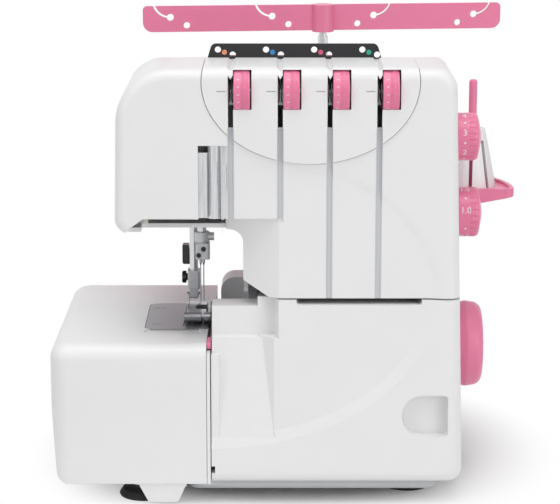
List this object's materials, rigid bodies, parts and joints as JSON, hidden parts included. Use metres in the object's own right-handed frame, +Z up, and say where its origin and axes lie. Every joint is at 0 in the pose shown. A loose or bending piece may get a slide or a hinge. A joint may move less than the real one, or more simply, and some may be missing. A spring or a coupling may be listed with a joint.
{
  "type": "overlock sewing machine",
  "caption": "Domestic overlock sewing machine with looper cover, cloth-plate cover, tension dials, side dials, handwheel and telescopic thread stand.",
  "frame": {"origin": "middle of the footprint at table height", "axes": "+X towards the handwheel, +Y towards the back, +Z up"},
  "size_m": [0.327, 0.2504, 0.3193],
  "materials": {
    "white_shell": "moulded, semi-gloss",
    "pink_plastic": "moulded, semi-gloss",
    "grey_plastic": "moulded, satin",
    "black_plastic": "moulded, satin",
    "feet_rubber": "matt",
    "belt_rubber": "matt",
    "polished_steel": "polished",
    "plain_steel": "ground",
    "dark_steel": "blackened",
    "cast_alloy": "as cast",
    "bronze": "turned",
    "motor_case": "painted",
    "lamp_cover": "frosted"
  },
  "bodies": {
    "machine": {"front_housing": "white_shell", "rear_housing": "white_shell", "tension_panel": "white_shell", "left_legs": "white_shell", "cone_holders": "white_shell", "spool_stand": "pink_plastic", "spool_pins": "pink_plastic", "base_tray": "grey_plastic", "thread_channels": "grey_plastic", "thread_guide_plate": "black_plastic", "power_module": "black_plastic", "rubber_feet": "feet_rubber", "drive_belt": "belt_rubber", "take_up_guard": "polished_steel", "pole_base": "polished_steel", "face_thread_guide": "polished_steel", "stitch_plate": "plain_steel", "lower_knife": "plain_steel", "hinge_ears": "plain_steel", "tension_rail": "plain_steel", "tension_discs": "dark_steel", "machine_frame": "cast_alloy", "bushes": "bronze", "motor": "motor_case", "lamp": "lamp_cover"},
    "drive": {"handwheel": "pink_plastic", "main_shaft": "plain_steel", "main_pulley": "cast_alloy"},
    "motor_rotor": {"motor_pulley": "cast_alloy"},
    "needle_unit": {"needle_bar": "polished_steel", "needle_clamp": "plain_steel", "clamp_screws": "dark_steel", "needles": "plain_steel"},
    "rocker": {"needle_rocker": "plain_steel"},
    "lower_looper": {"lower_looper": "plain_steel"},
    "upper_looper": {"upper_looper": "plain_steel"},
    "upper_knife": {"upper_knife": "plain_steel"},
    "main_feed": {"main_feed_dog": "plain_steel"},
    "differential_feed": {"differential_feed_dog": "plain_steel"},
    "lifter": {"presser_lifter": "plain_steel", "lifter_handle": "black_plastic"},
    "presser_unit": {"presser_bar": "polished_steel", "foot_holder": "plain_steel", "foot_screw": "black_plastic"},
    "presser_foot": {"presser_foot": "plain_steel"},
    "cover_carrier": {"cover_hinge_rod": "plain_steel"},
    "looper_cover": {"looper_cover": "white_shell"},
    "side_cover": {"side_cover": "white_shell"},
    "stitch_finger": {"stitch_finger_lever": "dark_steel", "stitch_finger_cap": "pink_plastic"},
    "tension_dial_1": {"tension_dial_1": "pink_plastic"},
    "tension_dial_2": {"tension_dial_2": "pink_plastic"},
    "tension_dial_3": {"tension_dial_3": "pink_plastic"},
    "tension_dial_4": {"tension_dial_4": "pink_plastic"},
    "stitch_length_dial": {"stitch_length_dial": "pink_plastic"},
    "differential_dial": {"differential_dial": "pink_plastic"},
    "pole_middle": {"pole_middle": "polished_steel"},
    "antenna_top": {"pole_top": "polished_steel", "antenna": "pink_plastic"},
    "power_switch": {"power_switch": "black_plastic"}
  },
  "joints": [
    {"name": "handwheel_turn", "type": "hinge", "parent": "machine", "child": "drive", "pos_m": [0, -0.05275, 0.0945], "axis": [1, 0, 0], "continuous": true},
    {"name": "motor_turn", "type": "hinge", "parent": "machine", "child": "motor_rotor", "pos_m": [0, -0.00275, 0.0465], "axis": [1, 0, 0], "continuous": true},
    {"name": "needle_drive", "type": "slide", "parent": "machine", "child": "needle_unit", "axis": [0, 0, -1], "range_m": [0, 0.024]},
    {"name": "rocker_swing", "type": "hinge", "parent": "machine", "child": "rocker", "pos_m": [0, 0.00525, 0.224], "axis": [1, 0, 0], "range_deg": [0, 46.41]},
    {"name": "lower_looper_swing", "type": "hinge", "parent": "machine", "child": "lower_looper", "pos_m": [-0.0447, -0.02075, 0.056], "axis": [0, 1, 0], "range_deg": [0, 22.01]},
    {"name": "upper_looper_swing", "type": "hinge", "parent": "machine", "child": "upper_looper", "pos_m": [-0.0827, -0.02675, 0.072], "axis": [0, -1, 0], "range_deg": [0, 25.01]},
    {"name": "knife_stroke", "type": "slide", "parent": "machine", "child": "upper_knife", "axis": [0, 0, -1], "range_m": [0, 0.00801]},
    {"name": "main_feed_stroke", "type": "slide", "parent": "machine", "child": "main_feed", "axis": [0, 1, 0], "range_m": [0, 0.00401]},
    {"name": "differential_feed_stroke", "type": "slide", "parent": "machine", "child": "differential_feed", "axis": [0, 1, 0], "range_m": [0, 0.00401]},
    {"name": "lifter_swing", "type": "hinge", "parent": "machine", "child": "lifter", "pos_m": [-0.084, 0.00475, 0.196], "axis": [0, 1, 0], "range_deg": [0, 40.01]},
    {"name": "presser_lift", "type": "slide", "parent": "machine", "child": "presser_unit", "axis": [0, 0, 1], "range_m": [0, 0.0055]},
    {"name": "foot_tilt", "type": "hinge", "parent": "presser_unit", "child": "presser_foot", "pos_m": [-0.0707, -0.00875, 0.118], "axis": [1, 0, 0], "range_deg": [-8, 0]},
    {"name": "cover_shift", "type": "slide", "parent": "machine", "child": "cover_carrier", "axis": [1, 0, 0], "range_m": [0, 0.009]},
    {"name": "cover_tilt", "type": "hinge", "parent": "cover_carrier", "child": "looper_cover", "pos_m": [0.03, -0.11475, 0.0228], "axis": [1, 0, 0], "range_deg": [0, 70]},
    {"name": "side_cover_pull", "type": "slide", "parent": "machine", "child": "side_cover", "axis": [-1, 0, 0], "range_m": [0, 0.115]},
    {"name": "stitch_finger_shift", "type": "slide", "parent": "machine", "child": "stitch_finger", "axis": [0, 1, 0], "range_m": [0, 0.006]},
    {"name": "tension_turn_1", "type": "hinge", "parent": "machine", "child": "tension_dial_1", "pos_m": [-0.0342, -0.11075, 0.281], "axis": [1, 0, 0], "range_deg": [-150, 150]},
    {"name": "tension_turn_2", "type": "hinge", "parent": "machine", "child": "tension_dial_2", "pos_m": [-0.0018, -0.11075, 0.281], "axis": [1, 0, 0], "range_deg": [-150, 150]},
    {"name": "tension_turn_3", "type": "hinge", "parent": "machine", "child": "tension_dial_3", "pos_m": [0.0306, -0.11075, 0.281], "axis": [1, 0, 0], "range_deg": [-150, 150]},
    {"name": "tension_turn_4", "type": "hinge", "parent": "machine", "child": "tension_dial_4", "pos_m": [0.063, -0.11075, 0.281], "axis": [1, 0, 0], "range_deg": [-150, 150]},
    {"name": "stitch_length_turn", "type": "hinge", "parent": "machine", "child": "stitch_length_dial", "pos_m": [0.115, -0.08275, 0.246], "axis": [1, 0, 0], "range_deg": [-135, 135]},
    {"name": "differential_turn", "type": "hinge", "parent": "machine", "child": "differential_dial", "pos_m": [0.115, -0.08275, 0.1946], "axis": [1, 0, 0], "range_deg": [-135, 135]},
    {"name": "pole_middle_slide", "type": "slide", "parent": "machine", "child": "pole_middle", "axis": [0, 0, 1], "range_m": [0, 0.115]},
    {"name": "pole_top_slide", "type": "slide", "parent": "pole_middle", "child": "antenna_top", "axis": [0, 0, 1], "range_m": [0, 0.12]},
    {"name": "power_switch_rock", "type": "hinge", "parent": "machine", "child": "power_switch", "pos_m": [0.11101, 0.02225, 0.0535], "axis": [0, 1, 0], "range_deg": [-6, 6]}
  ],
  "couplings": [
    {"joint": "motor_turn", "follows": "handwheel_turn", "ratio": 3.0988},
    {"joint": "rocker_swing", "follows": "needle_drive", "rad_per_m": 33.741},
    {"joint": "lower_looper_swing", "follows": "needle_drive", "rad_per_m": 15.999},
    {"joint": "upper_looper_swing", "follows": "needle_drive", "rad_per_m": 18.181},
    {"joint": "knife_stroke", "follows": "needle_drive", "ratio": 0.33333},
    {"joint": "main_feed_stroke", "follows": "needle_drive", "ratio": 0.16667},
    {"joint": "differential_feed_stroke", "follows": "needle_drive", "ratio": 0.16667},
    {"joint": "lifter_swing", "follows": "presser_lift", "rad_per_m": 126.93}
  ]
}
